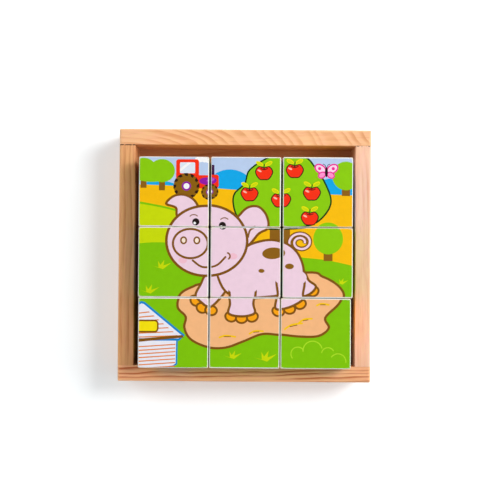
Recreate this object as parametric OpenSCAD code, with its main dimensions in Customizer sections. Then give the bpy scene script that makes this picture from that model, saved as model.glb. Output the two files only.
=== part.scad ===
// Nine-cube picture puzzle in an open wooden tray.
// Origin: middle of the tray's underside. +Z up, +Y towards the tray's back rail, +X to the right.

/* [Tray] */
// Outer side of the square tray
tray_side = 129; // [128:0.5:140]
// Thickness of the four rails
rail_t = 8.1; // [7:0.1:8.3]
// Height of the tray, from its underside to the rails' top faces
tray_h = 25.5; // [22:0.5:30]
// Thickness of the base panel
base_t = 3; // [2:0.1:4]
// How far the base panel reaches into the rebate under each rail
rebate_w = 4; // [3:0.1:4.5]
// Play between the base panel's edge and its rebate
base_play = 0.15; // [0.05:0.05:0.4]

/* [Eased edges] */
// Radius of the tray's outer top and bottom edges
rail_outer_r = 1.2; // [0.5:0.1:1.8]
// Radius of the rails' inner top edges
rail_inner_r = 0.4; // [0.2:0.1:1]
// Radius of the tray's upright outer corners
tray_corner_r = 1; // [0.5:0.1:1.8]

/* [Cubes] */
// Side of a finished cube, labels included
cube_side = 35; // [33:0.1:35.2]
// Thickness of a paper label
label_t = 0.2; // [0.1:0.05:0.3]
// Radius of the wooden block's edges
block_edge_r = 0.4; // [0.2:0.1:1]
// Play between the front row and the front rail
front_play = 0.1; // [0.1:0.1:1]
// Gap between rows, in the left, middle and right columns
row_gap = [0.15, 0.2, 0.25]; // [0.1:0.05:0.8]
// Gap between columns, in the front, middle and back rows
column_gap = [0.45, 0.95, 0.95]; // [0.3:0.05:1]
// Gap between the left rail and the first cube, in the front, middle and back rows
left_gap = [3.5, 3.3, 3.25]; // [0.5:0.05:3.5]

/* [Fasteners] */
// Diameter of a brad's shank
brad_d = 1.2; // [0.8:0.1:1.4]
// Diameter of a brad's head
brad_head_d = 2; // [1.6:0.1:2.4]
// Thickness of a brad's head
brad_head_t = 0.5; // [0.3:0.1:0.8]
// Length of the corner brads
corner_brad_l = 20; // [14:1:25]
// Heights of the two brads at each corner
corner_brad_z = [8, 18]; // [6:0.5:18]
// Length of the brads that hold the base panel
base_brad_l = 12; // [8:0.5:14]
// Distance of the base brads from the middle of each side
base_brad_at = 34; // [15:1:45]

/* [Hidden] */
$fn = 48;
eps = 0.01;
half = tray_side / 2;
inner_half = half - rail_t;
panel_side = 2 * (inner_half + rebate_w - base_play);
block_side = cube_side - 2 * label_t;
label_side = block_side - 2 * block_edge_r;
rows = ["front", "middle", "back"];
columns = ["left", "middle", "right"];
wood_colour = [0.96, 0.76, 0.56];
base_colour = [0.85, 0.66, 0.48];
block_colour = [0.93, 0.84, 0.68];
label_colour = [0.97, 0.97, 0.94];
steel_colour = [0.62, 0.62, 0.64];

function cube_name(column, row) = str("cube_", rows[row], "_", columns[column]);
cube_nodes = [
    for (row = [0:2], column = [0:2], piece = ["_block", "_top_label", "_other_labels"])
        str(cube_name(column, row), piece)
];

// A rectangle with rounded corners, centred: two crossed bars and four discs.
module rounded_rectangle(size, r) {
    square([size[0] - 2 * r, size[1]], center = true);
    square([size[0], size[1] - 2 * r], center = true);
    for (x = [-1, 1], y = [-1, 1])
        translate([x * (size[0] / 2 - r), y * (size[1] / 2 - r)]) circle(r);
}

// A box centred on the origin with every edge rounded to r.
module eased_cube(side, r) {
    intersection() {
        translate([0, 0, -side / 2]) linear_extrude(side) rounded_rectangle([side, side], r);
        rotate([90, 0, 0]) translate([0, 0, -side / 2]) linear_extrude(side) rounded_rectangle([side, side], r);
        rotate([0, 90, 0]) translate([0, 0, -side / 2]) linear_extrude(side) rounded_rectangle([side, side], r);
    }
}

// Cross-section of a rail: x runs from the outer face at 0 to the inner face, y is the height.
module rail_section() {
    outer_d = 2 * rail_outer_r;
    inner_d = 2 * rail_inner_r;
    translate([0, rail_outer_r]) square([rail_t, tray_h - outer_d]);
    translate([rail_outer_r, 0]) square([rail_t - rail_outer_r, outer_d]);
    translate([rail_outer_r, tray_h - outer_d]) square([rail_t - rail_outer_r - rail_inner_r, outer_d]);
    translate([rail_t - inner_d, tray_h - outer_d]) square([inner_d, outer_d - rail_inner_r]);
    for (y = [rail_outer_r, tray_h - rail_outer_r]) translate([rail_outer_r, y]) circle(rail_outer_r);
    translate([rail_t - rail_inner_r, tray_h - rail_inner_r]) circle(rail_inner_r);
}

// A length of rail along X, centred, with its outer face towards -Y at y = -half.
module rail_stock(length) {
    translate([-length / 2, -half, 0]) rotate([90, 0, 90]) linear_extrude(length) rail_section();
}

// The space that the base panel is let into, with its play.
module panel_pocket() {
    pocket_side = panel_side + 2 * base_play;
    translate([-pocket_side / 2, -pocket_side / 2, -eps]) cube([pocket_side, pocket_side, base_t + eps]);
}

// A nail along +X from the origin, where its head's face is.
module brad(length) {
    rotate([0, 90, 0]) {
        cylinder(d = brad_head_d, h = brad_head_t);
        cylinder(d = brad_d, h = length);
    }
}

// Two brads at each corner, driven through the back and front rails into the ends of the side rails.
module corner_brad_set() {
    for (side = [-1, 1], end = [-1, 1], z = corner_brad_z)
        translate([side * (half - rail_t / 2), end * half, z]) rotate([0, 0, -end * 90]) brad(corner_brad_l);
}

// Two brads on each side, driven up through the base panel into the rails.
module base_brad_set() {
    for (turn = [0:3], at = [-1, 1])
        rotate([0, 0, turn * 90])
            translate([at * base_brad_at, -inner_half - rebate_w / 2, 0])
                rotate([0, -90, 0]) brad(base_brad_l);
}

// Leaves the rebate and the brads' holes in a rail.
module fitted() {
    color(wood_colour) difference() {
        children();
        panel_pocket();
        corner_brad_set();
        base_brad_set();
    }
}

// A full-width rail in the front position: its ends are rounded with the tray's corners.
module long_rail() {
    intersection() {
        rail_stock(tray_side);
        linear_extrude(tray_h) rounded_rectangle([tray_side, tray_side], tray_corner_r);
        translate([0, half, tray_h / 2]) rotate([90, 0, 0])
            linear_extrude(tray_side) rounded_rectangle([tray_side, tray_h], rail_outer_r);
    }
}

module front_rail() { fitted() long_rail(); }
module back_rail() { fitted() mirror([0, 1, 0]) long_rail(); }
module side_rail(turn) { fitted() rotate([0, 0, turn]) rail_stock(2 * inner_half); }
module left_rail() { side_rail(-90); }
module right_rail() { side_rail(90); }

module base_panel() {
    color(base_colour) difference() {
        translate([-panel_side / 2, -panel_side / 2, 0]) cube([panel_side, panel_side, base_t]);
        base_brad_set();
    }
}

module corner_brads() { color(steel_colour) corner_brad_set(); }
module base_brads() { color(steel_colour) base_brad_set(); }

// Middle of one cube. Column and row count from the left and from the front.
function cube_centre(column, row) = [
    -inner_half + left_gap[row] + (column + 0.5) * cube_side + column * column_gap[row],
    -inner_half + front_play + (row + 0.5) * cube_side + row * row_gap[column],
    base_t + cube_side / 2
];

module block() {
    color(block_colour) eased_cube(block_side, block_edge_r);
}

// A flat paper square on top of the block.
module label() {
    color(label_colour)
        translate([-label_side / 2, -label_side / 2, block_side / 2])
            cube([label_side, label_side, label_t]);
}

// The squares on the four sides and the underside.
module other_labels() {
    for (turn = [0:3]) rotate([90, 0, turn * 90]) label();
    rotate([180, 0, 0]) label();
}

for (row = [0:2], column = [0:2]) {
    name = cube_name(column, row);
    translate(cube_centre(column, row)) block();
    translate(cube_centre(column, row)) label();
    translate(cube_centre(column, row)) other_labels();
}
back_rail();
front_rail();
left_rail();
right_rail();
base_panel();
corner_brads();
base_brads();
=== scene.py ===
import math
import random

import bpy
from mathutils import Euler, Matrix, Vector, geometry


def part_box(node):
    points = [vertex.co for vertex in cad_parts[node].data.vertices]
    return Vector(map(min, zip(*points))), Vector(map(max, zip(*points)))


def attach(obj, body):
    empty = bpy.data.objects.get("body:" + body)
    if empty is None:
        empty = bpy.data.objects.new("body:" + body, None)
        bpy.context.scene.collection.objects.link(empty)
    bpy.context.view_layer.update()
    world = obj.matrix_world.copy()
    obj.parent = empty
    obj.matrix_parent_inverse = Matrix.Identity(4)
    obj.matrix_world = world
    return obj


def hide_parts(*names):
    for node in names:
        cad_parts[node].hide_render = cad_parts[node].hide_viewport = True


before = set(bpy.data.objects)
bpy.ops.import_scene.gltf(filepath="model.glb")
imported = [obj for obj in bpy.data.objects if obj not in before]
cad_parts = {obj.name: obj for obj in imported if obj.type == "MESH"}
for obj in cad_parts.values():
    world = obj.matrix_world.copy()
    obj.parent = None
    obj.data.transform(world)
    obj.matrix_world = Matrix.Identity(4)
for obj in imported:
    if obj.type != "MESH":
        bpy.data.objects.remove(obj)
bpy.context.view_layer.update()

MM = 0.001
ROWS = ("front", "middle", "back")
COLUMNS = ("left", "middle", "right")
rng = random.Random(7)


# ---------------------------------------------------------------- sizes, from the frame

block_low, block_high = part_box("cube_middle_middle_block")
label_low, label_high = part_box("cube_middle_middle_top_label")
sides_low, sides_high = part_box("cube_middle_middle_other_labels")
CUBE = (sides_high.x - sides_low.x) / MM                # side of a cube over its labels
BLOCK = (block_high.x - block_low.x) / MM               # side of the wooden block alone
FLAT = (label_high.x - label_low.x) / 2 / MM            # half the flat part of a label
PAPER = (CUBE - BLOCK) / 2                              # thickness of a label
WRAP_R = CUBE / 2 - FLAT                                # radius of a label round a cube's edge
WRAP_ANGLE = math.radians(38)                           # how far a label goes round that edge
BEND_STEPS = 3                                          # rows of faces that make the bend
HALF_LABEL = FLAT + WRAP_R * WRAP_ANGLE                 # half a label, laid flat
LABEL_CORNER = 0.5                                      # radius of a label's corners
MARGIN = 0.20                                           # white border of the print
SLIP = 0.15                                             # how far a print may lie off its label's middle
SHEET = len(COLUMNS) * CUBE                             # side of a whole picture
BLEED = 3                                               # how far sky and land run past the picture's edge
CUT_TOLERANCE = 1e-4                                    # points closer than this become one


# ---------------------------------------------------------------- drawing, in mm on the sheet
# x runs to the right from the picture's left edge and y down from its top edge. Outlines are lists of (x, y).


def ink(red, green, blue):
    """A printing colour, given as it looks on paper, for a shader."""
    levels = [red / 255, green / 255, blue / 255]
    return tuple(((c + 0.055) / 1.055) ** 2.4 if c > 10 / 255 else c / 12.92 for c in levels)


PAPER_WHITE = ink(250, 249, 244)
WHITE = ink(252, 252, 252)
BLACK = ink(30, 16, 14)
LINE = ink(130, 82, 14)
BARK = ink(142, 96, 18)
SKY = ink(188, 209, 240)
SEA = ink(10, 170, 236)
GOLD = ink(252, 192, 2)
LIME = ink(203, 222, 0)
GRASS = ink(128, 199, 0)
DEEP_GRASS = ink(104, 186, 2)
LEAF = ink(140, 206, 4)
PINK = ink(243, 212, 228)
BLUSH = ink(240, 168, 188)
RED = ink(250, 48, 14)
PURPLE = ink(146, 24, 168)
MUD = ink(250, 188, 132)
HOOF = ink(255, 166, 12)
YELLOW = ink(252, 230, 6)


def ellipse(x, y, rx, ry=None, turn=0.0, start=0.0, stop=360.0):
    """A disc, or an arc of one from start to stop, in degrees clockwise from the right. turn tilts it."""
    ry = rx if ry is None else ry
    whole = abs(stop - start) >= 360
    # A larger curve gets more corners.
    steps = max(10, int(abs(stop - start) / 360 * (14 + 5 * max(rx, ry) ** 0.75)))
    tilt = math.radians(turn)
    points = []
    for i in range(steps if whole else steps + 1):
        a = math.radians(start + (stop - start) * i / steps)
        px, py = rx * math.cos(a), ry * math.sin(a)
        points.append((x + px * math.cos(tilt) - py * math.sin(tilt),
                       y + px * math.sin(tilt) + py * math.cos(tilt)))
    return points


def curve(points, closed=True, steps=6):
    """A smooth line through a few points: a Catmull-Rom spline."""
    count = len(points)
    found = []
    for i in range(count if closed else count - 1):
        near = [i - 1, i, i + 1, i + 2]
        a, b, c, d = (points[k % count if closed else min(max(k, 0), count - 1)] for k in near)
        for j in range(steps):
            t = j / steps
            found.append(tuple(
                0.5 * (2 * b[k] + (c[k] - a[k]) * t + (2 * a[k] - 5 * b[k] + 4 * c[k] - d[k]) * t * t
                       + (3 * b[k] - a[k] - 3 * c[k] + d[k]) * t ** 3)
                for k in (0, 1)))
    return found if closed else found + [points[-1]]


def box(x0, y0, x1, y1):
    """A rectangle between two opposite corners."""
    return [(x0, y0), (x1, y0), (x1, y1), (x0, y1)]


def rounded(x0, y0, x1, y1, r):
    """A box with round corners."""
    corners = [(x1 - r, y1 - r, 0), (x0 + r, y1 - r, 90), (x0 + r, y0 + r, 180), (x1 - r, y0 + r, 270)]
    return [p for x, y, a in corners for p in ellipse(x, y, r, start=a, stop=a + 90)[::3]]


def area(outline):
    """The area inside an outline. Its sign says which way round the outline runs."""
    return sum(a[0] * b[1] - b[0] * a[1] for a, b in zip(outline, outline[1:] + outline[:1])) / 2


def grown(outline, by):
    """The outline, moved outwards by that distance, or inwards if it is negative."""
    sign = 1 if area(outline) > 0 else -1
    count = len(outline)
    found = []
    for i, point in enumerate(outline):
        before, after = Vector(outline[i - 1]), Vector(outline[(i + 1) % count])
        here = Vector(point)
        ways = [(here - before).normalized(), (after - here).normalized()]
        out = sum((Vector((w.y, -w.x)) for w in ways), Vector((0, 0)))
        reach = by / max(0.5, (out / 2).length)     # a sharp corner reaches twice as far, and no further
        found.append(tuple(here + out.normalized() * sign * reach))
    return found


def ribbon(points, width):
    """The outline of a line of that width, with round ends."""
    left, right = [], []
    for i, point in enumerate(points):
        after = Vector(points[min(i + 1, len(points) - 1)])
        before = Vector(points[max(i - 1, 0)])
        way = (after - before).normalized()
        side = Vector((way.y, -way.x)) * width / 2
        left.append(tuple(Vector(point) + side))
        right.append(tuple(Vector(point) - side))

    def cap(at, towards):
        way = (Vector(at) - Vector(towards)).normalized() * width / 2
        return [tuple(Vector(at) + Matrix.Rotation(math.radians(a), 2) @ way) for a in (45, 0, -45)]

    return left + cap(points[-1], points[-2]) + right[::-1] + cap(points[0], points[1])


class Picture:
    """A printed picture. Later shapes cover earlier ones."""

    def __init__(self):
        self.shapes = []

    def fill(self, outline, colour):
        """A patch of one colour."""
        self.shapes.append((outline, colour))

    def outlined(self, outline, colour, line=LINE, width=1.0):
        """A patch with a line of that width along its edge."""
        self.fill(grown(outline, width / 2), line)
        self.fill(grown(outline, -width / 2), colour)

    def stroke(self, points, width=1.0, colour=LINE):
        """A line through the points."""
        self.fill(ribbon(points, width), colour)


# ---------------------------------------------------------------- things that several pictures show
# p is the Picture that they are drawn on.


def land(p, colour, *tops):
    """Ground below a line through these points, down to the sheet's lower edge."""
    top = curve(list(tops), closed=False)
    p.fill([(-BLEED, SHEET + BLEED)] + top + [(SHEET + BLEED, SHEET + BLEED)], colour)


def tree(p, x, y, r, height):
    """A round tree. x, y is the middle of its crown, r its radius and height the least bare trunk."""
    foot = y + r + max(height, 0.45 * r)
    p.fill(box(x - 0.3 * r, y + 0.8 * r, x + 0.3 * r, foot), BARK)
    p.fill(ellipse(x, y, r, 1.04 * r), LEAF)


def tuft(p, x, y, size):
    """Four blades of grass from one root."""
    for lean, height in ((-3.6, 0.9), (-1.1, 2.7), (1.3, 3.1), (4.0, 2.0)):
        tip = (x + lean * size, y - height * size)
        p.fill([(x - 0.9 * size, y - 0.2 * size), tip, (x + 0.8 * size, y + 0.5 * size)], LIME)


def cloud(p, x, y, size):
    """A cloud of four round puffs."""
    for dx, dy, r in ((-4, 0.4, 2.2), (-1.4, -1, 3), (2, -0.4, 2.6), (4.4, 0.7, 1.8)):
        p.fill(ellipse(x + dx * size, y + dy * size, r * size), WHITE)


def flower(p, x, y, size, colour=RED):
    """A flower with five petals, on a stalk."""
    p.stroke([(x, y + 1.2 * size), (x + 0.3 * size, y + 4.2 * size)], 0.5 * size, DEEP_GRASS)
    for i in range(5):
        a = math.radians(72 * i + 18)
        p.fill(ellipse(x + 1.15 * size * math.cos(a), y + 1.15 * size * math.sin(a), 0.8 * size), colour)
    p.fill(ellipse(x, y, 0.7 * size), YELLOW)


def apple(p, x, y):
    """An apple with two leaves and a stalk."""
    for side, tilt in ((-1, 28), (1, -28)):
        p.fill(ellipse(x + side * 2.3, y - 4.6, 2.0, 1.0, tilt), YELLOW)
        p.fill(ellipse(x + side * 2.3, y - 4.5, 1.7, 0.7, tilt), LIME)
    body = curve([(x, y - 2.5), (x + 2.6, y - 3), (x + 4.3, y - 0.4), (x + 2.4, y + 3),
                  (x, y + 3.4), (x - 2.4, y + 3), (x - 4.3, y - 0.4), (x - 2.6, y - 3)])
    hollow = curve([(x - 1.8, y - 2.2), (x, y - 1.6), (x + 1.8, y - 2.2)], closed=False)
    stalk = [(x, y - 1.8), (x - 0.1, y - 3), (x + 0.3, y - 4.4)]
    p.outlined(body, RED, BLACK, 0.5)
    p.stroke(hollow, 0.4, BLACK)
    p.stroke(stalk, 0.4, BLACK)
    p.fill(ellipse(x - 2.3, y - 1, 1.1, 0.45, 25), ink(255, 190, 170))


def eye(p, x, y, r):
    """A round eye with one glint."""
    p.fill(ellipse(x, y, r), BLACK)
    p.fill(ellipse(x - 0.3 * r, y + 0.35 * r, 0.36 * r), WHITE)


def hoof(p, x, y, w, turn=0.0):
    """One toe of a foot, turned by that many degrees."""
    p.outlined(ellipse(x, y, w, 2.3, turn), HOOF, LINE, 1.0)


def sun(p, x, y, r):
    """A sun with twelve pointed rays."""
    wide = math.radians(8)
    for i in range(12):
        a = math.radians(30 * i + 8)
        ray = ((1.05 * r, a - wide), (1.55 * r, a), (1.05 * r, a + wide))
        p.fill([(x + reach * math.cos(b), y + reach * math.sin(b)) for reach, b in ray], HOOF)
    p.fill(ellipse(x, y, r), YELLOW)


def fence(p, x0, x1, y, posts):
    """Two rails between x0 and x1 with pointed posts that stand on y."""
    for rail_y in (y - 5, y - 2.4):
        p.fill(box(x0, rail_y, x1, rail_y + 1), ink(222, 160, 88))
    for i in range(posts):
        x = x0 + (x1 - x0) * (i + 0.5) / posts
        p.outlined([(x - 1, y), (x - 1, y - 6.6), (x, y - 7.8), (x + 1, y - 6.6), (x + 1, y)],
                   ink(236, 182, 110), LINE, 0.5)


# ---------------------------------------------------------------- the six pictures


def tractor(p, x, y):
    """An empty tractor that faces right. x, y is the hub of its big wheel."""
    p.fill(rounded(x + 11.6, y - 10.4, x + 13, y - 4, 0.3), ink(60, 16, 72))
    p.fill(rounded(x - 5.2, y - 13.4, x + 6.2, y - 2, 1.3), RED)
    p.fill(rounded(x - 3.3, y - 11.9, x + 4.3, y - 6.4, 0.6), ink(226, 236, 248))
    p.fill([(x - 3.3, y - 8.6), (x + 0.8, y - 11.9), (x + 2.6, y - 11.9), (x - 3.3, y - 7)], WHITE)
    p.fill(rounded(x + 4, y - 5.5, x + 15.2, y + 1.1, 1.1), RED)
    p.fill(ellipse(x + 10.3, y - 2.6, 3.9, 1.8), PURPLE)
    p.fill(ellipse(x + 11.6, y - 3, 1.6, 0.7, -12), ink(190, 90, 206))
    for wx, wy, r, lugs in ((x, y, 6.4, 12), (x + 11.2, y + 2.9, 3.8, 10)):
        p.fill(ellipse(wx, wy, r), ink(140, 96, 8))
        wide = 0.27 * math.tau / lugs
        for i in range(lugs):
            a = math.tau * i / lugs
            lug = ((0.8, a - 0.6 * wide), (1.03, a - 1.6 * wide), (1.03, a + 0.7 * wide), (0.8, a + wide))
            corners = [(wx + r * k * math.cos(b), wy + r * k * math.sin(b)) for k, b in lug]
            p.fill(corners, ink(44, 22, 10))
        p.fill(ellipse(wx, wy, 0.36 * r), PURPLE)
        p.fill(ellipse(wx, wy, 0.23 * r), WHITE)


def house(p):
    """The gable end of a boarded house that the sheet's edge cuts off."""
    gable = [(-4, 76), (1.5, 72.6), (3, 73), (22.4, 88.8), (20.2, 91), (-4, 91)]
    wall = [(-4, 90), (19.4, 90), (19.2, 103), (17.6, 104.2), (9, 105.5), (-4, 106)]
    blue = ink(12, 136, 214)
    pale = ink(240, 240, 250)
    board = ink(228, 128, 36)
    p.fill(grown(wall, 0.4), blue)
    p.fill(grown(wall, -0.4), pale)
    p.fill(grown(gable, 0.6), blue)
    p.fill(grown(gable, -0.5), pale)
    for i in range(7):
        y = 78 + 1.95 * i
        p.fill([(-2, y), (5.2 + 2.4 * i, y - 0.9), (5.9 + 2.4 * i, y - 0.4), (-2, y + 0.6)], board)
    for i in range(7):
        y = 94.6 + 1.8 * i
        p.fill([(-2, y), (18.6, y - 1.5), (18.6, y - 0.95), (-2, y + 0.6)], board)
    p.fill([(-2, 90.9), (22.2, 88.7), (22.6, 90), (-2, 92.5)], LINE)
    p.outlined(rounded(-3, 81.6, 9.8, 87.2, 1.6), YELLOW, LINE, 0.8)


# Where the pig's near feet stand, and how far the line through their toes slants.
NEAR_LEGS = ((51, 76.8, 0.0), (74.4, 72.2, -0.32))


def pig(p):
    """A pig of a plain kind, seen from its left side, with its head towards us."""
    # The curly tail and the far legs come first, so that the body covers their roots.
    turns = [(math.radians(a), 4.5 - a / 145) for a in range(-230, 381, 15)]
    curl = [(79 + r * math.cos(a), 42.2 + 0.84 * r * math.sin(a)) for a, r in turns]
    for width, colour in ((2.4, LINE), (1.1, PINK)):
        p.stroke(curl[:22], width, colour)
        p.stroke(curl[20:], width, colour)
    for x, y, turn in ((28.4, 71.6, 50), (31.6, 75.2, 35), (36, 76.2, 0), (81, 67.4, 25), (85.4, 66.6, -35)):
        hoof(p, x, y, 2.7, turn)
    far_fore = curve([(35, 58), (46, 58), (44, 64), (40.6, 69.6), (35.4, 74.4), (31.4, 72.4), (28.8, 69),
                      (31, 64)])
    far_hind = curve([(72, 56), (80, 56), (83, 61), (86.6, 64), (84, 67.6), (79.4, 69), (74, 66)])
    p.outlined(far_fore, PINK, LINE, 1.2)
    p.outlined(far_hind, PINK, LINE, 1.2)
    for x, y, slant in NEAR_LEGS:
        for dx, tilt in ((-5.4, 24), (0, 0), (5.4, -24)):
            hoof(p, x + dx, y + 3.2 - abs(dx) * 0.14 + slant * dx, 2.8, tilt)
    body = curve([(50, 46), (56, 43), (64, 41.2), (71, 42.4), (77, 47), (80.2, 54), (80, 60.4), (76, 67),
                  (62, 69.6), (47, 69.4), (40, 63), (38, 50)])
    p.outlined(body, PINK, LINE, 1.2)
    # Each near leg has a pink patch over its root, so that no line divides it from the body.
    for x, y, slant in NEAR_LEGS:
        foot = [(x + dx, y + dy + slant * dx) for dx, dy in ((6.4, 0.6), (0, 2.2), (-6.4, 0.8))]
        leg = [(x - 5.6, y - 12), (x + 5.8, y - 12), (x + 5.8, y - 4), *foot, (x - 5.8, y - 4)]
        p.outlined(curve(leg), PINK, LINE, 1.2)
        p.fill(ellipse(x, y - 12.4, 7.6, 4.4), PINK)
    p.fill(ellipse(66, 47.8, 5.3, 2.9, -4), BARK)
    p.fill(ellipse(73.4, 54.2, 2.2, 1.4), BARK)
    p.fill(ellipse(60.4, 56.6, 1.5, 1), BARK)
    # Ears: one is up, and one hangs over.
    raised = curve([(20, 30), (18.6, 25.4), (13.8, 23.4), (17.6, 19.6), (23, 19), (28.4, 22.4), (30.6, 30)])
    hanging = curve([(47, 34), (50, 28.6), (54, 25.2), (59, 25), (62.8, 29), (63.8, 35), (59, 38),
                     (52.6, 44)])
    p.outlined(raised, PINK, LINE, 1.2)
    p.outlined(hanging, PINK, LINE, 1.2)
    p.stroke(curve([(53.6, 40), (54.6, 36.4), (57.4, 34.8)], closed=False), 0.9)
    p.outlined(ellipse(33.6, 41.8, 19.6, 17.4), PINK, LINE, 1.3)
    for x, y in ((22.2, 51.6), (46.2, 49.4)):
        p.fill(ellipse(x, y, 2.2, 1.5), ink(246, 194, 210))
    eye(p, 28.6, 32.4, 1.8)
    eye(p, 41, 34.4, 1.8)
    for x, y in ((27.6, 29), (42, 30.8)):
        p.stroke(ellipse(x, y + 2, 2.4, 2.2, start=215, stop=320), 0.5)
    p.stroke(curve([(27, 51.4), (32, 54.8), (38, 54), (42.6, 49.6)], closed=False), 1.0)
    p.stroke(ellipse(43, 49.4, 1.7, start=-80, stop=60), 0.8)
    p.outlined(ellipse(26, 43.2, 8.7, 7.3), PINK, LINE, 1.1)
    for x in (22.6, 29.2):
        p.outlined(ellipse(x, 41.6, 1.35, 1.6), ink(255, 236, 214), LINE, 0.8)


def pig_picture():
    """A pig in a mud puddle on a farm: the picture on the cubes' tops."""
    p = Picture()
    p.fill(box(-BLEED, -BLEED, SHEET + BLEED, SHEET + BLEED), SKY)
    cloud(p, 31.6, 1.4, 0.62)
    p.fill(ellipse(44.6, 19, 13, 12.6), SEA)
    p.fill(ellipse(96, 22, 15, 11.4), SEA)
    p.fill(ellipse(10, 18, 12, 6), SEA)
    land(p, GOLD, (-BLEED, 13.8), (20, 14.6), (45, 16.4), (75, 18), (SHEET + BLEED, 19.2))
    for x, y, foot in ((2.4, 6.4, 15.6), (11.6, 7, 16.8)):
        p.fill(box(x - 1.5, y + 4, x + 1.5, foot), BARK)
        p.fill(ellipse(x, y, 6.4, 5.8), LEAF)
    p.fill(ellipse(6.5, 9.5, 8, 3.2), LEAF)
    tree(p, 101.4, 9.4, 6.9, 2.6)
    tractor(p, 23.8, 14.6)
    land(p, GRASS, (-BLEED, 21.8), (19, 26.2), (40, 34), (60, 44), (75, 49), (92, 51), (SHEET + BLEED, 54.4))
    land(p, LIME, (-BLEED, 22.9), (19, 27.3), (36, 36), (44, 48), (50, 60))
    land(p, GRASS, (-BLEED, 43.6), (14, 42.8), (40, 47), (80, 50.6), (92, 52), (SHEET + BLEED, 54.6))
    tree(p, 92.6, 40.4, 7.4, 3.6)
    p.fill(box(64.4, 33, 73.6, 44), BARK)
    crown = curve([(63.6, 0.4), (72, -2), (81.4, 0.4), (86, 5.4), (90.6, 12.4), (94, 22), (90.4, 29.6),
                   (83, 34.4), (70, 35.6), (56.6, 35.2), (49, 30.6), (46.4, 24), (47, 18.4), (52, 13.4),
                   (54.4, 6.6)])
    p.outlined(crown, LEAF, ink(20, 62, 14), 0.8)
    for x, y in ((61.6, 8), (75.8, 7), (54.4, 18.6), (69.6, 21.6), (84.4, 18.2), (83.4, 30.6)):
        apple(p, x, y)
    butterfly(p, 91.6, 7.6)
    mud = curve([(81, 57.2), (90, 59.2), (97, 63), (100.6, 68), (98.6, 73), (92.2, 79.6), (94, 84.6),
                 (89, 88.6), (80, 89), (69, 88), (61, 87.8), (52, 91.4), (43, 94.6), (34, 94.4), (26, 90.6),
                 (23, 85), (23.6, 79.6), (19.6, 75), (21, 68.6), (27, 64.8), (36, 62.6)])
    p.outlined(mud, MUD, LINE, 1.2)
    for x, y, w, rise in ((44, 88.6, 4.2, 0), (58.4, 86.2, 3.6, 0.5), (76.4, 83.2, 4.6, 1.4),
                          (82.4, 80.4, 3.4, 0.9), (91, 72.6, 3.2, 0)):
        straw = curve([(x - w, y + 1 + rise), (x - 0.2 * w, y), (x + w, y + 0.6 - rise)], closed=False)
        p.stroke(straw, 0.9, ink(250, 198, 20))
        p.stroke([(x - 0.4 * w, y + 0.5 + 0.3 * rise), (x + 0.4 * w, y + 0.5 - 0.3 * rise)], 0.4, LINE)
    pig(p)
    house(p)
    for x, y, size in ((11.4, 55.4, 1.3), (5.4, 67.6, 1.3), (46.4, 99.6, 1.2), (62.6, 100.6, 1.5),
                       (99.2, 62.6, 0.9)):
        tuft(p, x, y, size)
    # A bush, drawn as a few arcs.
    for x, y, r, start, stop in ((78.6, 97.6, 3.4, 140, 325), (86, 96, 4.8, 175, 345),
                                 (93.6, 97.6, 3.2, 190, 330), (98.6, 101.4, 4, 215, 365)):
        p.stroke(ellipse(x, y, r, start=start, stop=stop), 0.5, ink(176, 226, 40))
    return p


def butterfly(p, x, y):
    """A small pink butterfly."""
    pink = ink(240, 40, 150)
    for side in (-1, 1):
        p.outlined(ellipse(x + side * 3, y - 1.6, 2.9, 2, side * -32), ink(255, 214, 238), pink, 0.7)
        p.outlined(ellipse(x + side * 2.2, y + 1.5, 1.9, 1.4, side * 30), ink(255, 150, 206), pink, 0.6)
        p.fill(ellipse(x + side * 3.4, y - 1.8, 0.8), pink)
        feeler = curve([(x, y - 1.8), (x + side * 0.8, y - 3.6), (x + side * 1.8, y - 4)], closed=False)
        p.stroke(feeler, 0.3, BLACK)
    p.fill(ellipse(x, y, 0.7, 2.5), BLACK)


def meadow(sky=SKY, hill=SEA, field=GOLD, ground=GRASS):
    """A sheet with sky, a far hill, a field and grass, for an animal to stand on."""
    p = Picture()
    p.fill(box(-BLEED, -BLEED, SHEET + BLEED, SHEET + BLEED), sky)
    p.fill(ellipse(24, 34, 26, 18), hill)
    p.fill(ellipse(82, 36, 34, 15), hill)
    land(p, field, (-BLEED, 34), (30, 30), (70, 34), (SHEET + BLEED, 30))
    land(p, ground, (-BLEED, 52), (35, 47), (70, 52), (SHEET + BLEED, 46))
    for x, y in ((10, 96), (93, 90), (52, 99), (80, 63), (16, 60)):
        tuft(p, x, y, 1.3)
    return p


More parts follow.
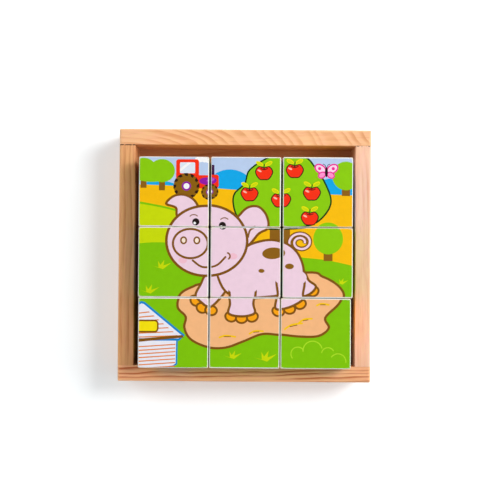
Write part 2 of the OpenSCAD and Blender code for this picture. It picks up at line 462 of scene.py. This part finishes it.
def duck_picture():
    """A duck on a pond."""
    p = meadow(field=LIME)
    sun(p, 86, 17, 8)
    cloud(p, 24, 15, 1.4)
    tree(p, 14, 38, 8, 5)
    pond = curve([(8, 74), (24, 66), (60, 62), (94, 68), (100, 80), (80, 92), (44, 95), (16, 88)])
    p.outlined(pond, ink(90, 196, 244), ink(12, 130, 206), 1)
    body = curve([(30, 58), (40, 56), (54, 60), (70, 54), (80, 47), (80, 60), (72, 74), (54, 79), (36, 76),
                  (28, 68)])
    p.outlined(body, YELLOW, LINE, 1.1)
    p.outlined(ellipse(36, 46, 13.4, 12.6), YELLOW, LINE, 1.1)
    p.fill(ellipse(38, 59, 8, 5), YELLOW)
    p.outlined(curve([(48, 64), (58, 59), (68, 60), (64, 69), (54, 72)]), GOLD, LINE, 0.9)
    p.outlined(curve([(25, 46), (16, 47), (13, 51), (19, 54), (27, 52)]), HOOF, LINE, 0.9)
    eye(p, 33, 43, 1.8)
    for x, y, w in ((22, 84, 7), (50, 88, 9), (80, 80, 7)):
        p.stroke(curve([(x - w, y), (x, y + 1.4), (x + w, y)], closed=False), 0.8, WHITE)
    for x in (90, 94, 97.5):
        p.stroke(curve([(x, 78), (x + 1, 62), (x + 0.4, 48)], closed=False), 0.9, DEEP_GRASS)
        p.fill(ellipse(x + 0.4, 48, 1.2, 4.4), BARK)
    return p


def cow_picture():
    """A cow by a fence."""
    p = meadow()
    cloud(p, 70, 13, 1.5)
    tree(p, 90, 30, 10, 6)
    fence(p, -2, 108, 60, 9)
    for x in (40, 52, 74, 84):
        p.outlined(box(x, 72, x + 7, 92), WHITE, LINE, 1)
        p.outlined(box(x, 89, x + 7, 94), BARK, LINE, 0.8)
    body = curve([(36, 56), (50, 51), (76, 51), (92, 54), (95, 66), (90, 79), (66, 82), (42, 80), (35, 70)])
    p.outlined(body, WHITE, LINE, 1.1)
    p.fill(curve([(58, 54), (68, 53), (72, 60), (64, 66), (56, 62)]), BARK)
    p.fill(curve([(80, 62), (90, 60), (92, 68), (86, 74), (78, 70)]), BARK)
    p.fill(ellipse(50, 73, 5, 3.4), BARK)
    p.stroke(curve([(94, 58), (101, 64), (100, 76)], closed=False), 1.2)
    p.fill(ellipse(100, 78, 1.8, 3), BARK)
    for side in (-1, 1):
        p.outlined(ellipse(30 + side * 15, 46, 5, 2.8, side * 18), PINK, LINE, 0.9)
        horn = curve([(30 + side * 6, 38), (30 + side * 10, 34), (30 + side * 9, 29), (30 + side * 5, 36)])
        p.outlined(horn, ink(240, 226, 190), LINE, 0.8)
    p.outlined(ellipse(30, 50, 12, 14.5), WHITE, LINE, 1.1)
    p.fill(ellipse(35, 44, 5, 6), BARK)
    p.outlined(ellipse(30, 60, 9.6, 6.4), PINK, LINE, 1)
    for x in (26, 34):
        p.fill(ellipse(x, 59.4, 1.1, 1.6), LINE)
        eye(p, x - 0.2, 46, 1.7)
    p.stroke(curve([(25, 63.4), (30, 65), (35, 63.4)], closed=False), 0.8)
    flower(p, 12, 84, 1.6)
    flower(p, 98, 88, 1.4, PURPLE)
    return p


def hen_picture():
    """A hen with two chicks in front of a red barn, in the evening."""
    p = meadow(sky=ink(252, 240, 216), hill=ink(244, 196, 140),
               field=ink(250, 226, 168), ground=ink(242, 214, 158))
    p.outlined([(56, 52), (56, 26), (77, 11), (98, 26), (98, 52)], RED, LINE, 1)
    p.outlined(box(69, 33, 85, 52), WHITE, LINE, 0.9)
    p.stroke([(69, 33), (85, 52)], 1)
    p.stroke([(85, 33), (69, 52)], 1)
    p.outlined(ellipse(77, 23, 3.4), YELLOW, LINE, 0.8)
    cloud(p, 24, 12, 1.4)
    feathers = ink(250, 244, 226)
    body = curve([(20, 52), (30, 58), (46, 58), (58, 46), (66, 44), (66, 60), (58, 76), (42, 82), (26, 78),
                  (18, 66)])
    p.outlined(body, feathers, LINE, 1.1)
    for dx, dy in ((-4, 1), (0, -1.4), (4, 1)):
        p.outlined(ellipse(25 + dx, 34.6 + dy, 2.6, 3.2), RED, LINE, 0.7)
    p.outlined(ellipse(26, 46, 10.4, 10), feathers, LINE, 1.1)
    p.fill(ellipse(28, 55, 7, 5), feathers)
    p.outlined([(16.4, 44.6), (9, 48), (16.8, 50)], HOOF, LINE, 0.8)
    p.outlined(ellipse(18.4, 55, 1.9, 3), RED, LINE, 0.7)
    eye(p, 23, 44, 1.6)
    p.outlined(curve([(36, 62), (46, 60), (54, 62), (50, 70), (40, 70)]), ink(240, 206, 150), LINE, 0.9)
    for x in (36, 45):
        p.stroke([(x, 81), (x, 89), (x - 3, 91)], 1.2, HOOF)
        p.stroke([(x, 89), (x + 3, 91)], 1.2, HOOF)
    for x, y in ((72, 78), (88, 84)):
        p.outlined(ellipse(x, y, 7.4, 6.2), YELLOW, LINE, 0.9)
        p.outlined(ellipse(x - 5, y - 6, 4.4), YELLOW, LINE, 0.9)
        p.outlined([(x - 9, y - 6.6), (x - 12, y - 5.4), (x - 9, y - 4.2)], HOOF, LINE, 0.6)
        eye(p, x - 6, y - 7, 0.9)
        p.outlined(ellipse(x + 1.4, y, 3.2, 2.2, 15), GOLD, LINE, 0.6)
        for dx in (-2, 2):
            p.stroke([(x + dx, y + 6), (x + dx, y + 9)], 0.9, HOOF)
    return p


def sheep_picture():
    """A woolly sheep among flowers."""
    p = meadow(hill=ink(120, 190, 226), field=LEAF, ground=LIME)
    sun(p, 20, 16, 8)
    tree(p, 90, 36, 9, 5)
    wool = ink(248, 246, 240)
    face = ink(92, 74, 66)
    for x in (40, 50, 66, 75):
        p.outlined(rounded(x, 74, x + 5.4, 93, 1.2), face, BLACK, 0.6)
    for line, colour in ((0.6, ink(150, 140, 130)), (-0.5, wool)):
        for i in range(14):
            a = math.tau * i / 14
            p.fill(ellipse(58 + 22 * math.cos(a), 62 + 14 * math.sin(a), 6.6 + line), colour)
        p.fill(ellipse(58, 62, 24, 16), colour)
    for x, y in ((50, 58), (62, 54), (72, 62), (58, 68), (44, 66)):
        p.stroke(ellipse(x, y, 2.8, start=10, stop=230), 0.6, ink(190, 182, 172))
    for side in (-1, 1):
        p.outlined(ellipse(32 + side * 10, 51, 5, 2.4, side * 24), face, BLACK, 0.6)
    p.outlined(ellipse(32, 54, 8.6, 11), face, BLACK, 0.6)
    for dx, dy, r in ((-5, 1, 4), (0, -1.6, 4.8), (5, 1, 4)):
        p.fill(ellipse(32 + dx, 44 + dy, r), wool)
    for x in (28.6, 35.4):
        p.fill(ellipse(x, 52, 2.2), WHITE)
        p.fill(ellipse(x, 52.4, 1.1), BLACK)
    p.stroke(curve([(29, 59), (32, 60.6), (35, 59)], closed=False), 0.7, PINK)
    for x, y, colour in ((12, 78, RED), (22, 90, PURPLE), (90, 78, RED), (84, 94, SEA), (98, 66, WHITE)):
        flower(p, x, y, 1.5, colour)
    return p


def rabbit_picture():
    """A rabbit with carrots."""
    p = meadow(sky=ink(206, 228, 244), hill=LEAF)
    cloud(p, 22, 12, 1.3)
    cloud(p, 82, 20, 1.1)
    fur = ink(196, 176, 160)
    belly = ink(244, 236, 226)
    p.outlined(ellipse(76, 82, 6), belly, LINE, 0.9)
    body = curve([(40, 62), (54, 54), (68, 60), (76, 76), (72, 90), (50, 93), (36, 90), (34, 76)])
    p.outlined(body, fur)
    p.fill(ellipse(50, 78, 9, 11), belly)
    for x, tilt in ((41, -10), (55, 12)):
        p.outlined(ellipse(x, 24, 4.8, 14, tilt), fur)
        p.fill(ellipse(x, 25, 2.4, 10, tilt), BLUSH)
    p.outlined(ellipse(48, 48, 15.5, 13.5), fur)
    p.fill(ellipse(48, 54, 7, 5), belly)
    for x in (41, 55):
        eye(p, x, 45, 1.9)
    p.fill(ellipse(48, 50.6, 1.8, 1.2), BLUSH)
    for side in (-1, 1):
        p.stroke(curve([(48, 52), (48 + side * 2.4, 55), (48 + side * 4.6, 53.6)], closed=False), 0.7)
        for lift in (-1.6, 0.8):
            p.stroke([(48 + side * 7, 52.6 + lift * 0.4), (48 + side * 15, 52 + lift)], 0.35)
        p.outlined(ellipse(48 + side * 9, 91, 6, 3.2), fur)
    for x, y, bend in ((20, 84, 1.2), (90, 74, -0.9)):
        for lean in (-3, 0, 3):
            p.stroke([(x, y - 8), (x + lean, y - 15)], 1.2, DEEP_GRASS)
        root = [(x - 4, y - 8), (x, y - 9.4), (x + 4, y - 8), (x + 2.4, y), (x + bend, y + 9), (x - 2.4, y)]
        p.outlined(curve(root), ink(252, 130, 20), LINE, 0.8)
        for dy in (-4, 0):
            p.stroke([(x - 2.4, y + dy), (x + 0.4, y + dy + 0.4)], 0.5)
    return p


# ---------------------------------------------------------------- labels: a picture cut into squares


class Tile:
    """One printed square, flat, cut into faces of one colour each. Its points are mm from its middle."""

    def __init__(self, picture, column, row):
        """column and row count from the picture's left and top."""
        self.points, self.loops = [], []
        self.add(rounded(-HALF_LABEL, -HALF_LABEL, HALF_LABEL, HALF_LABEL, LABEL_CORNER))
        for k in range(BEND_STEPS):
            half = FLAT + WRAP_R * WRAP_ANGLE * k / BEND_STEPS
            self.add(box(-half, -half, half, half))
        slip = Vector((rng.uniform(-SLIP, SLIP), rng.uniform(-SLIP, SLIP)))
        half = HALF_LABEL - MARGIN
        self.add([tuple(Vector(q) + slip) for q in box(-half, -half, half, half)])
        first = len(self.loops)
        colours = []
        middle = Vector(((column + 0.5) * CUBE, (row + 0.5) * CUBE)) - slip
        for outline, colour in picture.shapes:
            local = [(x - middle.x, middle.y - y) for x, y in outline]
            xs, ys = [q[0] for q in local], [q[1] for q in local]
            # A shape that lies wholly off this square is left out.
            if max(min(xs), min(ys), -max(xs), -max(ys)) < HALF_LABEL:
                self.add(local)
                colours.append(colour)
        self.cut(first, colours)

    def add(self, outline):
        """Adds an outline to cut along."""
        outline = outline if area(outline) > 0 else outline[::-1]
        start = len(self.points)
        self.points += [Vector(q) for q in outline]
        self.loops.append(list(range(start, start + len(outline))))

    def cut(self, first, colours):
        """Splits the square along every outline.

        Outline 0 is the label's edge, the one before `first` is the edge of the print, and the picture's
        shapes start at `first`. A face takes the colour of the last shape that it lies in.
        """
        vertices, _, faces, _, _, outlines = geometry.delaunay_2d_cdt(
            self.points, [], self.loops, 0, CUT_TOLERANCE, True)
        self.vertices = vertices
        self.faces, self.colours = [], []
        for face, inside in zip(faces, outlines):
            if 0 not in inside:
                continue
            shapes = [k - first for k in inside if k >= first]
            printed = shapes and first - 1 in inside
            self.faces.append(face)
            self.colours.append(colours[max(shapes)] if printed else PAPER_WHITE)


def bent(along):
    """Where a point that lies `along` mm from a label's middle goes: its place, and how far it drops."""
    angle = max(0.0, abs(along) - FLAT) / WRAP_R
    if angle == 0:
        return along, 0.0
    return math.copysign(FLAT + WRAP_R * math.sin(angle), along), WRAP_R * (1 - math.cos(angle))


def place_tile(tile, quarter, turn_to_face, centre, parts):
    """Bends a tile over its cube's face and adds it to parts.

    quarter is how many quarter turns the tile makes first. parts holds lists of vertices, faces, colours and
    label coordinates.
    """
    vertices, faces, colours, coordinates = parts
    start = len(vertices)
    spin = Matrix.Rotation(math.radians(90 * quarter), 2)
    for point in tile.vertices:
        u, v = spin @ Vector(point)
        across, drop_u = bent(u)
        along, drop_v = bent(v)
        where = turn_to_face @ Vector((across, along, CUBE / 2 - drop_u - drop_v))
        vertices.append(centre + where * MM)
        coordinates.append((0.5 + u / 2 / HALF_LABEL, 0.5 + v / 2 / HALF_LABEL))
    faces += [[start + k for k in face] for face in tile.faces]
    colours += tile.colours


def label_piece(name, parts, material):
    """The mesh of one or more printed squares, each face in its ink, with the paper's thickness behind it."""
    vertices, faces, colours, coordinates = parts
    mesh = bpy.data.meshes.new(name)
    mesh.from_pydata(vertices, [], faces)
    inks = mesh.color_attributes.new("ink", "FLOAT_COLOR", "CORNER")
    squares = mesh.uv_layers.new(name="label")
    for face, colour in zip(mesh.polygons, colours):
        for loop in face.loop_indices:
            inks.data[loop].color = (*colour, 1)
            squares.data[loop].uv = coordinates[mesh.loops[loop].vertex_index]
    mesh.materials.append(material)
    piece = bpy.data.objects.new(name, mesh)
    bpy.context.scene.collection.objects.link(piece)
    paper = piece.modifiers.new("paper", "SOLIDIFY")
    paper.thickness = 0.9 * PAPER * MM      # a little less than the paper's, so that it stays off the wood
    paper.offset = -1                       # inwards
    return piece


# ---------------------------------------------------------------- materials


class Shader:
    """Builds one Principled material, node by node. A socket links, and anything else is a value."""

    def __init__(self, name):
        self.material = bpy.data.materials.new(name)
        self.material.use_nodes = True
        self.tree = self.material.node_tree
        self.surface = self.tree.nodes["Principled BSDF"]

    def set(self, node, inputs):
        """Sets a node's inputs, given by name or number."""
        for key, value in inputs.items():
            if isinstance(value, bpy.types.NodeSocket):
                self.tree.links.new(value, node.inputs[key])
            else:
                node.inputs[key].default_value = value

    def node(self, kind, inputs=None, out=0, **settings):
        """Makes a node and gives one of its outputs, by name or number."""
        made = self.tree.nodes.new("ShaderNode" + kind)
        for key, value in settings.items():
            setattr(made, key, value)
        self.set(made, inputs or {})
        return made.outputs[out]

    def math(self, operation, *values, clamp=False):
        """A sum on numbers."""
        return self.node("Math", dict(enumerate(values)), operation=operation, use_clamp=clamp)

    def vector(self, operation, *values, out=0):
        """A sum on vectors."""
        return self.node("VectorMath", dict(enumerate(values)), out, operation=operation)

    def noise(self, at, scale, detail=3.0, roughness=0.55):
        """Cloudy noise, mostly between 0.3 and 0.7."""
        inputs = {"Vector": at, "Scale": scale, "Detail": detail, "Roughness": roughness}
        return self.node("TexNoise", inputs)

    def mix(self, factor, a, b, blend="MIX"):
        """A blend of two colours. In a Mix node, inputs 6 and 7 and output 2 are the ones for colours."""
        return self.node("Mix", {0: factor, 6: a, 7: b}, 2, data_type="RGBA", blend_type=blend)

    def step(self, value, low, high):
        """0 at low, 1 at high, smooth between them and level beyond."""
        inputs = {"Value": value, "From Min": low, "From Max": high}
        return self.node("MapRange", inputs, interpolation_type="SMOOTHSTEP")

    def split(self, vector):
        """A vector's x, y and z."""
        return self.node("SeparateXYZ", {0: vector}).node.outputs

    def millimetres(self):
        """A point's place on the object, in mm."""
        place = self.vector("SCALE", self.node("TexCoord", out="Object"))
        self.set(place.node, {"Scale": 1 / MM})
        return place

    def facing(self):
        """How far a surface faces along x, y and z, from 0 to 1 each."""
        return self.split(self.vector("ABSOLUTE", self.node("NewGeometry", out="Normal")))

    def rounding(self):
        """1 where a surface turns round an edge, 0 on the flat faces."""
        x, y, z = self.facing()
        largest = self.math("MAXIMUM", self.math("MAXIMUM", x, y), z)
        return self.step(largest, 0.995, 0.86)

    def finish(self, **inputs):
        """Sets the surface's inputs and gives the material."""
        self.set(self.surface, {key.replace("_", " "): value for key, value in inputs.items()})
        return self.material


def rgba(red, green, blue):
    """The same as ink, with an alpha of 1."""
    return (*ink(red, green, blue), 1)


def scaled(colour, factors):
    """A colour times one factor for each channel, no brighter than white, with an alpha of 1."""
    return (*(min(1.0, c * k) for c, k in zip(colour, factors)), 1)


def wood(name, middle, turn, pith, early, late, ring=2.1, slope=2.0, drift=0.0, contrast=0.8,
         joint=0.0, glue_and_shadow=0.0, seed=0.0):
    """Sawn wood, cut out of growth rings about a pith line.

    middle: the board's centre, in metres
    turn: 0 lays the grain along X, 90 along Y
    pith: how far the pith line lies from the board's centre, across and up, in mm
    early, late: the colours of the pale and the dark part of a year's ring
    ring: the mean ring width, in mm
    slope, drift: how the pith line leans up and sideways, in degrees
    contrast: how dark the late wood is
    joint: how far the board's glued end lies from its centre, in mm
    glue_and_shadow: how much of the joint's line of dried glue and painted shadow shows, from 0 to 1
    seed: moves the pattern to another part of the noise
    """
    s = Shader(name)
    from_middle = s.vector("SUBTRACT", s.node("TexCoord", out="Object"), tuple(middle))
    to_board = {"Vector": from_middle, "Rotation": (0, 0, math.radians(-turn)), "Scale": (1 / MM,) * 3}
    board = s.node("Mapping", to_board)
    seeded = s.vector("ADD", board, (seed, seed * 1.7, seed * 0.6))

    # Growth rings: late wood that darkens slowly and ends sharply at each year's edge.
    lean = (0, math.radians(slope), math.radians(-drift))
    about_pith = s.node("Mapping", {"Vector": board, "Rotation": lean, "Location": (0, -pith[0], -pith[1])})
    slow = s.vector("MULTIPLY", seeded, (0.022, 0.09, 0.09))
    wander = s.node("TexNoise", {"Vector": slow, "Scale": 1.0}, out="Color")
    wander = s.vector("MULTIPLY", s.vector("SUBTRACT", wander, (0.5, 0.5, 0.5)), (0, 3.4, 3.4))
    off_pith = s.vector("ADD", s.vector("MULTIPLY", about_pith, (0, 1, 1)), wander)
    radius = s.vector("LENGTH", off_pith, out="Value")
    uneven = s.node("TexNoise", {"W": s.math("MULTIPLY", radius, 0.16), "Scale": 1.0, "Detail": 1.0},
                    noise_dimensions="1D")
    years = s.math("ADD", s.math("DIVIDE", radius, ring), s.math("MULTIPLY", uneven, 2.4))
    year = s.math("FRACT", years)
    late_wood = s.math("MULTIPLY", s.step(year, 0.3, 0.92), s.step(year, 1.0, 0.94))

    # Fibres along the grain, fine grooves, slow patches of tone, a warmer blush, and pores.
    fibre = s.noise(s.vector("MULTIPLY", seeded, (0.05, 1.6, 1.6)), 1.0, 4.0, 0.62)
    fine = s.noise(s.vector("MULTIPLY", seeded, (0.2, 8.0, 8.0)), 1.0, 2.0, 0.5)
    patch = s.noise(s.vector("MULTIPLY", seeded, (0.03, 0.14, 0.14)), 1.0, 2.0)
    blush = s.noise(s.vector("MULTIPLY", seeded, (0.12, 0.5, 0.5)), 1.3, 2.0)
    pores = s.noise(s.vector("MULTIPLY", seeded, (0.09, 3.6, 3.6)), 1.3, 1.0)

    darkest = scaled(late, (0.5, 0.5, 0.5))
    colour = s.mix(s.step(blush, 0.35, 0.7), (*early, 1), scaled(early, (1.0, 0.93, 1.02)))
    banded = s.math("MULTIPLY", late_wood, s.math("MULTIPLY", s.step(patch, 0.25, 0.6), contrast))
    colour = s.mix(banded, colour, (*late, 1))
    colour = s.mix(s.math("MULTIPLY", s.step(fibre, 0.46, 0.74), 0.34), colour, (*late, 1))
    colour = s.mix(s.math("MULTIPLY", s.step(pores, 0.68, 0.76), 0.4), colour, darkest)

    # End grain is darker, and eased edges are paler and bluer.
    facing = s.facing()
    end_grain = s.step(facing[0 if turn == 0 else 1], 0.75, 0.95)
    colour = s.mix(s.math("MULTIPLY", end_grain, 0.25), colour, darkest)
    paler_edges = s.math("MULTIPLY", s.math("MULTIPLY", s.rounding(), s.step(fibre, 0.3, 0.6)), 0.55)
    colour = s.mix(paler_edges, colour, scaled(early, (1.05, 1.16, 1.3)))

    # A broken line of painted shadow and dried glue where the board's far end meets its neighbour, clearest
    # on top.
    if joint:
        along = s.split(board)[0]
        open_at = 0.62 - 0.22 * glue_and_shadow
        breaks = s.step(s.noise(seeded, 0.8, 1.0), open_at, open_at + 0.05)
        line = s.math("MULTIPLY", s.step(along, joint - 0.65, joint - 0.35), breaks)
        shown = s.math("ADD", s.math("MULTIPLY", facing[2], 0.5), 0.4)
        colour = s.mix(s.math("MULTIPLY", line, shown), colour, rgba(60, 30, 14))

    height = s.math("ADD", s.math("MULTIPLY", late_wood, 0.5), s.math("MULTIPLY", fibre, 0.9))
    height = s.math("ADD", height, s.math("MULTIPLY", fine, 0.5))
    bump = s.node("Bump", {"Strength": 0.35, "Distance": 0.12 * MM, "Height": height})
    rough = s.node("MapRange", {"Value": s.math("ADD", fibre, s.math("MULTIPLY", late_wood, -0.3)),
                                "From Min": 0.1, "From Max": 0.8, "To Min": 0.42, "To Max": 0.66})
    return s.finish(Base_Color=colour, Roughness=rough, Normal=bump, Specular_IOR_Level=0.3)


def printed_paper():
    """Coated paper: flat inks with a fine screen, faint mottle, and white scuffs along its edges."""
    s = Shader("printed_paper")
    inks = s.node("Attribute", attribute_name="ink")
    place = s.millimetres()
    from_middle = s.vector("SUBTRACT", s.node("UVMap", uv_map="label"), (0.5, 0.5, 0))
    # From 0 in the label's middle to 0.5 at its edges, and for a corner 0.5 times 0.5.
    across, along, _ = s.split(s.vector("ABSOLUTE", from_middle))
    edge = s.math("MAXIMUM", across, along)
    corner = s.math("MULTIPLY", across, along)
    mottle = s.noise(place, 0.35, 4.0)
    screen = s.noise(place, 9.0, 1.0)
    tone = s.node("MapRange", {"Value": s.math("ADD", mottle, s.math("MULTIPLY", screen, 0.5)),
                               "From Min": 0.4, "From Max": 1.1, "To Min": 0.94, "To Max": 1.03})
    grey = s.node("CombineColor", {0: tone, 1: tone, 2: tone})
    colour = s.mix(1.0, inks, grey, "MULTIPLY")
    chips = s.noise(place, 2.6, 3.0, 0.7)
    near_edge = s.math("ADD", s.step(edge, 0.468, 0.5), s.math("MULTIPLY", s.step(corner, 0.2, 0.25), 0.8))
    scuffed = s.step(s.math("ADD", chips, s.math("MULTIPLY", near_edge, 0.22)), 0.78, 0.84)
    colour = s.mix(s.math("MULTIPLY", scuffed, 0.8), colour, rgba(236, 226, 208))
    rubs = s.noise(s.vector("MULTIPLY", place, (0.4, 2.4, 1.0)), 0.6, 5.0, 0.65)
    rough = s.node("MapRange", {"Value": rubs, "From Min": 0.3, "From Max": 0.75,
                                "To Min": 0.26, "To Max": 0.48})
    rough = s.math("ADD", rough, s.math("MULTIPLY", scuffed, 0.3), clamp=True)
    height = s.math("ADD", mottle, s.math("MULTIPLY", screen, 0.25))
    height = s.math("SUBTRACT", height, s.math("MULTIPLY", scuffed, 0.4))
    bump = s.node("Bump", {"Strength": 0.22, "Distance": 0.08 * MM, "Height": height})
    return s.finish(Base_Color=colour, Roughness=rough, Normal=bump, Specular_IOR_Level=0.15)


def steel():
    """Bright wire with fine drawing marks and a little tarnish."""
    s = Shader("brad_steel")
    place = s.millimetres()
    stain = s.noise(place, 1.6, 3.0)
    marks = s.noise(s.vector("MULTIPLY", place, (1, 1, 14)), 3.0, 2.0)
    colour = s.mix(s.step(stain, 0.42, 0.72), rgba(186, 186, 190), rgba(120, 104, 88))
    rough = s.node("MapRange", {"Value": marks, "To Min": 0.25, "To Max": 0.5})
    bump = s.node("Bump", {"Strength": 0.3, "Distance": 0.05 * MM, "Height": marks})
    return s.finish(Base_Color=colour, Metallic=1.0, Roughness=rough, Normal=bump)


def floor_material():
    """A white paper sweep, with a little light of its own, so that it stays white without stronger lamps."""
    s = Shader("floor")
    place = s.node("TexCoord", out="Object")
    mottle = s.noise(place, 30.0, 3.0)
    colour = s.mix(s.math("MULTIPLY", mottle, 0.2), rgba(250, 250, 250), rgba(244, 244, 245))
    # Its own light is bluer near the tray, which evens out the warm light that the wood throws on it.
    far = s.step(s.vector("LENGTH", place, out="Value"), 0.1, 0.35)
    glow = s.mix(far, (0.8, 0.94, 1, 1), (1, 1, 1, 1))
    return s.finish(Base_Color=colour, Roughness=0.7, Emission_Color=glow, Emission_Strength=0.285)


def paint(node, material):
    """Gives a CAD node its material, in its own slots."""
    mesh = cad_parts[node].data
    mesh.materials.clear()
    mesh.materials.append(material)


def middle_of(node):
    """The middle of a CAD node's box, in metres."""
    low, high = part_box(node)
    return (low + high) / 2


# ---------------------------------------------------------------- the tray and the blocks

PINE = ink(252, 198, 146)
PINE_LATE = ink(226, 150, 94)
PINE_DARK = ink(200, 108, 62)
PINE_RED = ink(255, 192, 138)
PINE_ROSE = ink(250, 204, 172)
# The left rail's two colours are darker partly for the board's own tone and partly as painted shade from the
# cubes.
PINE_AMBER_AND_SHADE = ink(240, 178, 120)
AMBER_LATE_AND_SHADE = ink(206, 132, 78)
PLY = ink(226, 168, 118)
PLY_LATE = ink(190, 122, 74)
BEECH = ink(238, 208, 168)
BEECH_LATE = ink(214, 172, 124)

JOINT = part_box("left_rail")[1].y / MM                   # where the side rails meet the back rail

# Each board: its node, its material's name, its grain's turn, its pith line, its two colours and the rest.
BOARDS = (
    ("back_rail", "pine_back", 0, (-16, -16), PINE, PINE_LATE,
     dict(ring=2.3, slope=-26, seed=3)),
    ("front_rail", "pine_front", 0, (-44, -27), PINE_RED, PINE_DARK,
     dict(ring=1.7, slope=0.5, drift=1.2, contrast=1.2, seed=41)),
    # The left rail's colours hold painted shade as well as the board's own tone.
    ("left_rail", "pine_left", 90, (26, -16), PINE_AMBER_AND_SHADE, AMBER_LATE_AND_SHADE,
     dict(ring=2.4, slope=1.2, drift=0.8, joint=JOINT, glue_and_shadow=1.0, seed=77)),
    ("right_rail", "pine_right", 90, (-30, -24), PINE_ROSE, PINE_LATE,
     dict(ring=2.2, slope=1.0, drift=0.6, contrast=0.35, joint=JOINT, glue_and_shadow=0.25, seed=118)),
    ("base_panel", "base_wood", 0, (30, -60), PLY, PLY_LATE,
     dict(ring=3.4, slope=1.5, contrast=0.6, seed=9)),
)
for board, name, grain_turn, pith, early, late, look in BOARDS:
    paint(board, wood(name, middle_of(board), grain_turn, pith, early, late, **look))
brad_steel = steel()
for brads in ("corner_brads", "base_brads"):
    paint(brads, brad_steel)


# ---------------------------------------------------------------- the nine cubes

# How a label that lies on top turns to reach each of the six faces: top, four sides, underside.
FACES = [Euler((0, 0, 0)), *(Euler((math.radians(90), 0, math.radians(90 * k))) for k in range(4)),
         Euler((math.radians(180), 0, 0))]
pictures = [pig_picture(), duck_picture(), cow_picture(), hen_picture(), sheep_picture(), rabbit_picture()]
paper = printed_paper()

for row, row_name in enumerate(ROWS):
    for column, column_name in enumerate(COLUMNS):
        body = f"cube_{row_name}_{column_name}"
        centre = middle_of(body + "_block")
        grain_turn = 90 * ((row + column) % 2)
        pith = (rng.uniform(-30, 30), -30)
        block_wood = wood(body + "_wood", centre, grain_turn, pith, BEECH, BEECH_LATE,
                          contrast=0.6, seed=rng.uniform(0, 400))
        paint(body + "_block", block_wood)
        # Vertices, faces, colours and label coordinates of the top label, and of the other five.
        top, others = ([], [], [], []), ([], [], [], [])
        for face, (picture, turned) in enumerate(zip(pictures, FACES)):
            # The top squares lie in the picture's order. The others are mixed, as they come out of play.
            across = column if face == 0 else (column + face) % len(COLUMNS)
            down = len(ROWS) - 1 - row if face == 0 else (row + 2 * face) % len(ROWS)
            quarter = 0 if face == 0 else (column + 2 * row + face) % 4
            tile = Tile(picture, across, down)
            place_tile(tile, quarter, turned.to_matrix(), centre, top if face == 0 else others)
        for parts, node in ((top, "_top_label"), (others, "_other_labels")):
            piece = label_piece(body + node.replace("label", "print"), parts, paper)
            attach(piece, body)
            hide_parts(body + node)


# ---------------------------------------------------------------- floor, light and camera

bpy.ops.mesh.primitive_plane_add(size=6)        # in metres
floor = bpy.context.object
floor.name = "floor"
floor.location.z = -0.1 * MM        # clear of the tray's underside, so that the two never share a plane
floor.data.materials.append(floor_material())


def studio_world():
    """Soft light from all round, paler near the horizon, where the floor ends in a white sweep."""
    world = bpy.data.worlds.new("studio")
    world.use_nodes = True
    nodes = world.node_tree.nodes
    links = world.node_tree.links
    way = nodes.new("ShaderNodeSeparateXYZ")
    links.new(nodes.new("ShaderNodeTexCoord").outputs["Generated"], way.inputs[0])
    fade = nodes.new("ShaderNodeMapRange")
    fade.interpolation_type = "SMOOTHSTEP"
    for key, value in (("From Min", 0.05), ("From Max", 0.4), ("To Min", 0.68), ("To Max", 0.345)):
        fade.inputs[key].default_value = value
    links.new(way.outputs["Z"], fade.inputs["Value"])
    links.new(fade.outputs["Result"], nodes["Background"].inputs["Strength"])
    nodes["Background"].inputs["Color"].default_value = (1.0, 1.0, 1.0, 1)
    return world


scene = bpy.context.scene
scene.view_settings.view_transform = "Standard"
scene.world = studio_world()


def softbox(name, azimuth, elevation, distance, size, power):
    """A large round lamp that faces the tray, with its size and distance in metres and its power in watts.

    azimuth is counted from +X towards +Y, and elevation from the floor, in degrees.
    """
    lamp = bpy.data.lights.new(name, "AREA")
    lamp.shape = "DISK"
    lamp.size = size
    lamp.energy = power
    a, e = math.radians(azimuth), math.radians(elevation)
    way = Vector((math.cos(e) * math.cos(a), math.cos(e) * math.sin(a), math.sin(e)))
    made = bpy.data.objects.new(name, lamp)
    made.location = way * distance
    made.rotation_euler = way.to_track_quat("Z", "Y").to_euler()
    scene.collection.objects.link(made)


softbox("key", azimuth=28, elevation=50, distance=1.6, size=0.6, power=11.5)
softbox("wide", azimuth=10, elevation=28, distance=1.6, size=1.2, power=10.4)
softbox("far_side", azimuth=150, elevation=35, distance=1.6, size=1.0, power=4.6)

# Fitted to the corners of the tray and of the cubes in the photo.
camera_data = bpy.data.cameras.new("camera")
camera_data.lens = 74.7
camera_data.sensor_width = 36
camera = bpy.data.objects.new("camera", camera_data)
camera.location = (-0.0026, -0.0021, 0.5342)
camera.rotation_euler = (0.0195, -0.0004, 0.0073)
scene.collection.objects.link(camera)
scene.camera = camera
